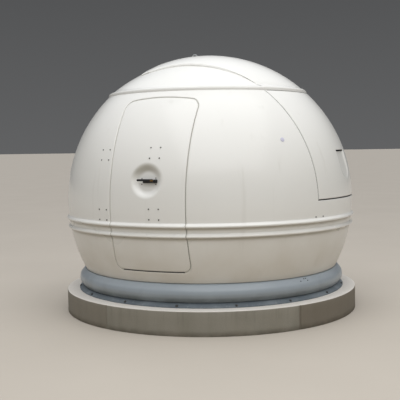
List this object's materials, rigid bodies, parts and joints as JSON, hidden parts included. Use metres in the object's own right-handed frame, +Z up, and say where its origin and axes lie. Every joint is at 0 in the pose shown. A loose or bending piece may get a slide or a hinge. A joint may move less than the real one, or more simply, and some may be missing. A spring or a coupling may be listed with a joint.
{
  "type": "ball-shaped observatory dome",
  "caption": "Walk-in observatory ball of white glass-fibre mouldings on a round concrete plinth, with a curved door and an opening slit.",
  "frame": {"origin": "centre of the plinth's foot, on the ground", "axes": "+Z up, -Y out of the entrance door, +X out of the slit's hatch"},
  "size_m": [3.058, 3.058, 2.6714],
  "materials": {
    "concrete": "cast concrete, streaked",
    "slate_flange": "satin gelcoat on glass fibre",
    "grey_ring": "satin gelcoat on glass fibre",
    "white_gelcoat": "glossy white gelcoat on glass fibre",
    "inside_gelcoat": "matt flow coat on glass fibre",
    "hinge_steel": "brushed stainless steel",
    "black_handle": "black moulded plastic",
    "lock_brass": "worn brass"
  },
  "bodies": {
    "base": {"plinth": "concrete", "base_flange": "slate_flange", "base_ring_1": "grey_ring", "base_ring_2": "grey_ring", "base_ring_3": "grey_ring", "base_ring_4": "grey_ring"},
    "ball": {"foot_ring_1": "inside_gelcoat", "foot_ring_2": "inside_gelcoat", "foot_ring_3": "inside_gelcoat", "foot_ring_4": "inside_gelcoat", "wall_front_right": "white_gelcoat", "wall_back_right": "white_gelcoat", "wall_back_left": "white_gelcoat", "wall_front_left": "white_gelcoat", "wall_over_door": "white_gelcoat", "wall_under_door": "white_gelcoat", "wall_under_hatch": "white_gelcoat", "cap_near": "white_gelcoat", "cap_far": "white_gelcoat", "cap_rear": "white_gelcoat", "coaming_near": "white_gelcoat", "coaming_far": "white_gelcoat", "coaming_rear": "white_gelcoat", "hatch_sill": "white_gelcoat", "door_frame": "inside_gelcoat", "door_hinge_lower": "hinge_steel", "door_hinge_upper": "hinge_steel", "hatch_hinge_near": "hinge_steel", "hatch_hinge_far": "hinge_steel"},
    "door": {"door_panel": "white_gelcoat", "door_arm_lower": "hinge_steel", "door_arm_upper": "hinge_steel", "handle_body": "black_handle"},
    "lever": {"handle_lever": "black_handle", "lock_cylinder": "lock_brass"},
    "hatch": {"hatch_panel": "white_gelcoat", "hatch_arm_near": "hinge_steel", "hatch_arm_far": "hinge_steel"},
    "shutter": {"upper_shutter": "white_gelcoat", "shutter_flap": "white_gelcoat", "lifting_eye": "hinge_steel"}
  },
  "joints": [
    {"name": "dome_turn", "type": "hinge", "parent": "base", "child": "ball", "pos_m": [0, 0, 0.438], "axis": [0, 0, 1], "continuous": true},
    {"name": "door_swing", "type": "hinge", "parent": "ball", "child": "door", "pos_m": [-0.56, -1.255, 1.3525], "axis": [0, 0, -1], "range_deg": [0, 95]},
    {"name": "lever_turn", "type": "hinge", "parent": "door", "child": "lever", "pos_m": [0.06691, -1.4789, 1.38557], "axis": [0.0086, -0.9862, 0.165], "range_deg": [0, 60], "stiffness_Nm_per_rad": 0.6, "springref_deg": -57.3},
    {"name": "shutter_slide", "type": "hinge", "parent": "ball", "child": "shutter", "pos_m": [-0.12, 0, 1.138], "axis": [0, -1, 0], "range_deg": [0, 60]},
    {"name": "hatch_fold", "type": "hinge", "parent": "ball", "child": "hatch", "pos_m": [1.325, 0, 1.005], "axis": [0, 1, 0], "range_deg": [0, 90]}
  ]
}
